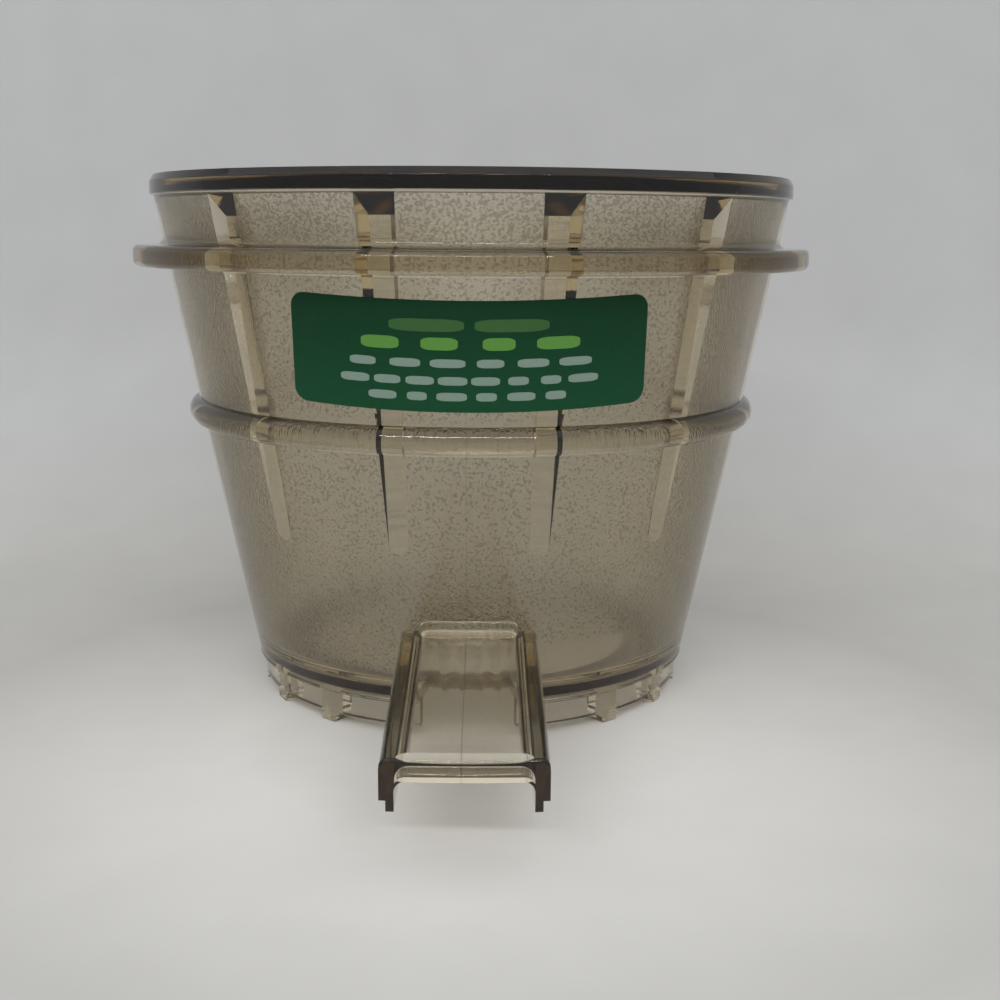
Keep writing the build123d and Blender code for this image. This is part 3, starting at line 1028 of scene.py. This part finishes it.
def wrap_tree():
    """Geometry nodes that lay a flat piece on the wall: X stays, Y lifts off the wall and Z is height."""
    tree = node_tree("wrap_on_wall", [("Material", "NodeSocketMaterial")])
    given = tree.nodes.new("NodeGroupInput")
    part = axes_of(tree, tree.nodes.new("GeometryNodeInputPosition").outputs[0])
    bend = maths(tree, "MULTIPLY", part["X"], part["X"])
    sag = maths(tree, "MULTIPLY_ADD", bend, LABEL_SAG / LABEL_HALF**2 / MM, part["Z"])
    slope = (WALL_TOP_R - WALL_BEAD_R) / (RIM_LOW - BEAD_Z)
    cone = maths(tree, "MULTIPLY_ADD", sag, slope, (WALL_BEAD_R - slope * BEAD_Z) * MM)
    reach = maths(tree, "ADD", cone, part["Y"])
    square = maths(tree, "MULTIPLY", reach, reach)
    root = maths(tree, "SQRT", maths(tree, "SUBTRACT", square, bend))
    front = maths(tree, "MULTIPLY", root, -1.0)
    there = add_node(tree, "ShaderNodeCombineXYZ", [("X", part["X"]), ("Y", front), ("Z", sag)])
    links = [("Geometry", given.outputs["Geometry"]), ("Position", there.outputs[0])]
    moved = add_node(tree, "GeometryNodeSetPosition", links)
    finish_tree(tree, moved.outputs[0], given)
    return tree


def row_tree():
    """Geometry nodes that set a row of bars of uneven length along X."""
    tree = node_tree(
        "row_of_bars",
        [
            ("Count", "NodeSocketInt"),
            ("Length", "NodeSocketFloat"),
            ("Height", "NodeSocketFloat"),
            ("Level", "NodeSocketFloat"),
            ("Seed", "NodeSocketInt"),
            ("Material", "NodeSocketMaterial"),
        ],
    )
    given = tree.nodes.new("NodeGroupInput")
    pitch = maths(tree, "DIVIDE", given.outputs["Length"], given.outputs["Count"])
    left = maths(tree, "MULTIPLY_ADD", given.outputs["Length"], -0.5, maths(tree, "MULTIPLY", pitch, 0.5))
    first = add_node(tree, "ShaderNodeCombineXYZ", [("X", left), ("Z", given.outputs["Level"])])
    step = add_node(tree, "ShaderNodeCombineXYZ", [("X", pitch)])
    line = add_node(
        tree, "GeometryNodeMeshLine",
        [
            ("Count", given.outputs["Count"]),
            ("Start Location", first.outputs[0]),
            ("Offset", step.outputs[0]),
        ],
        mode="OFFSET",
    )
    uneven = add_node(
        tree, "FunctionNodeRandomValue", [(2, BAR_SHORT), (3, BAR_LONG), ("Seed", given.outputs["Seed"])],
        data_type="FLOAT",
    )
    width = maths(tree, "MULTIPLY", maths(tree, "MULTIPLY", uneven.outputs[1], pitch), 1 / MM)
    size = add_node(tree, "ShaderNodeCombineXYZ", [("X", width), ("Y", 1.0), ("Z", given.outputs["Height"])])
    bars = add_node(
        tree, "GeometryNodeInstanceOnPoints",
        [("Points", line.outputs[0]), ("Instance", given.outputs["Geometry"]), ("Scale", size.outputs[0])],
    )
    finish_tree(tree, bars.outputs[0], given)
    return tree


def flat_panel(name, box, low, high, across=2):
    """A flat piece in X and Z, its box left, right, bottom, top and corner radius, between two lifts."""
    left, right, bottom, top, radius = box
    turns = [pi / 2 * i / 6 for i in range(7)]
    rows = [bottom + radius * (1 - cos(t)) for t in turns]
    rows += [top - radius * (1 - cos(t)) for t in reversed(turns)]
    insets = [radius * (1 - sin(t)) for t in turns]
    insets += list(reversed(insets))
    columns = max(across, ceil(right - left)) + 1
    verts = []
    for lift in (low, high):
        for z, inset in zip(rows, insets):
            verts.extend((x, lift, z) for x in np.linspace(left + inset, right - inset, columns))
    sheet = len(rows) * columns
    faces = []
    for r in range(len(rows) - 1):
        for c in range(columns - 1):
            here = r * columns + c
            quad = (here, here + 1, here + columns + 1, here + columns)
            faces.append(quad)
            faces.append(tuple(v + sheet for v in reversed(quad)))
    rim = list(range(columns))
    rim += [r * columns + columns - 1 for r in range(1, len(rows))]
    rim += [(len(rows) - 1) * columns + c for c in range(columns - 2, -1, -1)]
    rim += [r * columns for r in range(len(rows) - 2, 0, -1)]
    faces.extend((a, b, b + sheet, a + sheet) for a, b in zip(rim, rim[1:] + rim[:1]))
    return new_object(name, verts, faces)


class STRAINER_OT_body(bpy.types.Operator):
    """Moulds the bowl with its flange, ribs, feet and hooded spout in place of the plain solid"""

    bl_idname = "strainer.body"
    bl_label = "Mould the Body"

    def execute(self, context):
        sizes = context.scene.strainer_sizes
        wall = sizes.wall / MM
        plastic = smoky_plastic(context.scene.strainer_finish)
        outside, cavity = outside_profile(), cavity_profile(wall)
        body = revolved("strainer_moulding", outside, sizes.segments, OUTSIDE)
        combine(body, hood_solid(), "UNION")
        combine(body, root_solid(), "UNION")
        combine(body, revolved("cavity", cavity, sizes.segments, CAVITY), "DIFFERENCE")
        ring = ring_tree()
        pitch = 2 * pi / sizes.rib_count
        rows = [(rib_solid, sizes.rib_count, pi / 2 + pitch / 2, pitch)]
        for side in (-1, 1):
            first = side * sizes.foot_first - pi / 2
            rows.append((foot_solid, sizes.feet_per_side, first, side * sizes.foot_pitch))
        for make, count, first, step in rows:
            pieces = make(sizes) if make is rib_solid else make()
            run_tree(pieces, ring, {"Count": count, "First Angle": first, "Pitch": step, "Material": plastic})
            combine(body, pieces, "UNION")
        for cutter in (channel_solid(wall), gate_solid(), notch_solid()):
            combine(body, cutter, "DIFFERENCE")
        centres, facing, source = smooth_moulding(body.data, {OUTSIDE: outside, CAVITY: cavity})
        mark_grain(body.data, centres, facing, source, wall)
        body.data.materials.clear()
        body.data.materials.append(plastic)
        body.data.polygons.foreach_set("material_index", [0] * len(body.data.polygons))
        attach(body, "root")
        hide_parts("strainer_body")
        return {"FINISHED"}


class STRAINER_OT_label(bpy.types.Operator):
    """Lays the label's film and its rows of plain bars on the wall"""

    bl_idname = "strainer.label"
    bl_label = "Stick the Label"

    def execute(self, context):
        sizes, finish = context.scene.strainer_sizes, context.scene.strainer_finish
        top = sizes.film / MM
        wrap = wrap_tree()
        outline = (-LABEL_HALF, LABEL_HALF, LABEL_LOW, LABEL_HIGH, LABEL_ROUND)
        film = flat_panel("label_film", outline, -LABEL_SINK, top - INK_RISE)
        run_tree(film, wrap, {"Material": film_material(finish)})
        film.data.shade_smooth()
        film.data.set_sharp_from_angle(angle=radians(40))
        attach(film, "root")
        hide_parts("label")
        rows = row_tree()
        inks = {
            "deep": print_material("deep_ink", finish.deep_print),
            "lime": print_material("lime_ink", finish.lime_print),
            "pale": print_material("pale_ink", finish.pale_print),
        }
        unit_bar = (-0.5, 0.5, -0.5, 0.5, BAR_ROUND)
        for k, (ink, level, length, height, count) in enumerate(PRINT_ROWS):
            bars = flat_panel(f"print_row_{k + 1}", unit_bar, top - LABEL_SINK, top, 8)
            row = {"Count": count, "Length": length * MM, "Height": height, "Level": level * MM, "Seed": k}
            run_tree(bars, rows, {**row, "Material": inks[ink]})
            run_tree(bars, wrap, {"Material": inks[ink]})
            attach(bars, "root")
        return {"FINISHED"}


def paper_sweep(stage):
    """Paper on the floor that turns up behind the part, its face towards the part."""
    turn_up = [
        (PAPER_FRONT, FOOT_Z, 0), (PAPER_BACK, FOOT_Z, PAPER_BEND), (PAPER_BACK + PAPER_LEAN, PAPER_HEIGHT, 0)
    ]
    sweep = rounded(turn_up, closed=False)
    verts = [(x, p.x, p.y) for p in sweep for x in (-PAPER_HALF, PAPER_HALF)]
    faces = [(2 * i, 2 * i + 1, 2 * i + 3, 2 * i + 2) for i in range(len(sweep) - 1)]
    paper = new_object("paper_sweep", verts, faces)
    paper.data.flip_normals()
    paper.data.materials.append(paper_material(stage))
    paper.data.shade_smooth()
    return paper


def soft_room(stage):
    """World light that is bright overhead and falls off towards the horizon."""
    world = bpy.data.worlds.new("soft_room")
    world.use_nodes = True
    room = world.node_tree
    sky = room.nodes["Background"]
    sky.inputs["Strength"].default_value = stage.sky
    way = add_node(room, "ShaderNodeTexCoord").outputs["Generated"]
    glow = ramp(room, axes_of(room, way)["Z"], 0.0, 1.0, stage.horizon)
    tone = add_node(room, "ShaderNodeCombineColor", [(k, glow) for k in range(3)])
    room.links.new(tone.outputs[0], sky.inputs["Color"])
    return world


def key_lamp(stage):
    """Long thin main light in front of the part and above it."""
    key = bpy.data.lights.new("key", "AREA")
    key.energy = stage.key_power
    key.shape = "RECTANGLE"
    key.size, key.size_y = (side * MM for side in KEY_SIZE)
    lamp = bpy.data.objects.new("key", key)
    lamp.location = Vector(KEY_PLACE) * MM
    lamp.rotation_euler = (Vector(KEY_AIM) - Vector(KEY_PLACE)).to_track_quat("-Z", "Y").to_euler()
    return lamp


def photo_camera(stage):
    """Camera at the fitted place, turned by its yaw, pitch and roll."""
    ahead = Vector((sin(stage.yaw) * cos(stage.pitch), cos(stage.yaw) * cos(stage.pitch), -sin(stage.pitch)))
    right = ahead.cross(Vector((0, 0, 1))).normalized()
    level = Matrix((right, right.cross(ahead), -ahead)).transposed()
    lens = bpy.data.cameras.new("camera")
    lens.lens = stage.lens
    lens.sensor_width = SENSOR
    lens.clip_start = 10.0 * MM
    camera = bpy.data.objects.new("camera", lens)
    aim = (level @ Matrix.Rotation(stage.roll, 3, "Z")).to_4x4()
    stand = Matrix.Translation((0, -stage.camera_y, stage.camera_z))
    camera.matrix_world = Matrix.Rotation(stage.orbit, 4, "Z") @ stand @ aim
    return camera


class STRAINER_OT_stage(bpy.types.Operator):
    """Sets the pale floor and backdrop, the soft light and the camera"""

    bl_idname = "strainer.stage"
    bl_label = "Set the Stage"

    def execute(self, context):
        scene, stage = context.scene, context.scene.strainer_stage
        paper_sweep(stage)
        scene.world = soft_room(stage)
        context.collection.objects.link(key_lamp(stage))
        scene.camera = photo_camera(stage)
        context.collection.objects.link(scene.camera)
        scene.view_settings.view_transform = "Standard"
        return {"FINISHED"}


class STRAINER_PT_panel(bpy.types.Panel):
    """Sidebar panel with the sizes, finishes and steps"""

    bl_label = "Sorbet Strainer"
    bl_idname = "STRAINER_PT_panel"
    bl_space_type = "VIEW_3D"
    bl_region_type = "UI"
    bl_category = "Strainer"

    def draw(self, context):
        scene = context.scene
        for group in (scene.strainer_sizes, scene.strainer_finish, scene.strainer_stage):
            box = self.layout.box()
            for name in group.__annotations__:
                box.prop(group, name)
        for step in STEPS:
            self.layout.operator(step.bl_idname)


STEPS = (STRAINER_OT_body, STRAINER_OT_label, STRAINER_OT_stage)
GROUPS = {"strainer_sizes": StrainerSizes, "strainer_finish": StrainerFinish, "strainer_stage": StrainerStage}


def register():
    for group in (*GROUPS.values(), *STEPS, STRAINER_PT_panel):
        bpy.utils.register_class(group)
    for name, group in GROUPS.items():
        setattr(bpy.types.Scene, name, PointerProperty(type=group))


def unregister():
    for name in GROUPS:
        delattr(bpy.types.Scene, name)
    for group in (STRAINER_PT_panel, *reversed(STEPS), *reversed(tuple(GROUPS.values()))):
        bpy.utils.unregister_class(group)


def main():
    """Builds every piece in order."""
    register()
    bpy.ops.strainer.body()
    bpy.ops.strainer.label()
    bpy.ops.strainer.stage()


if __name__ == "__main__":
    main()
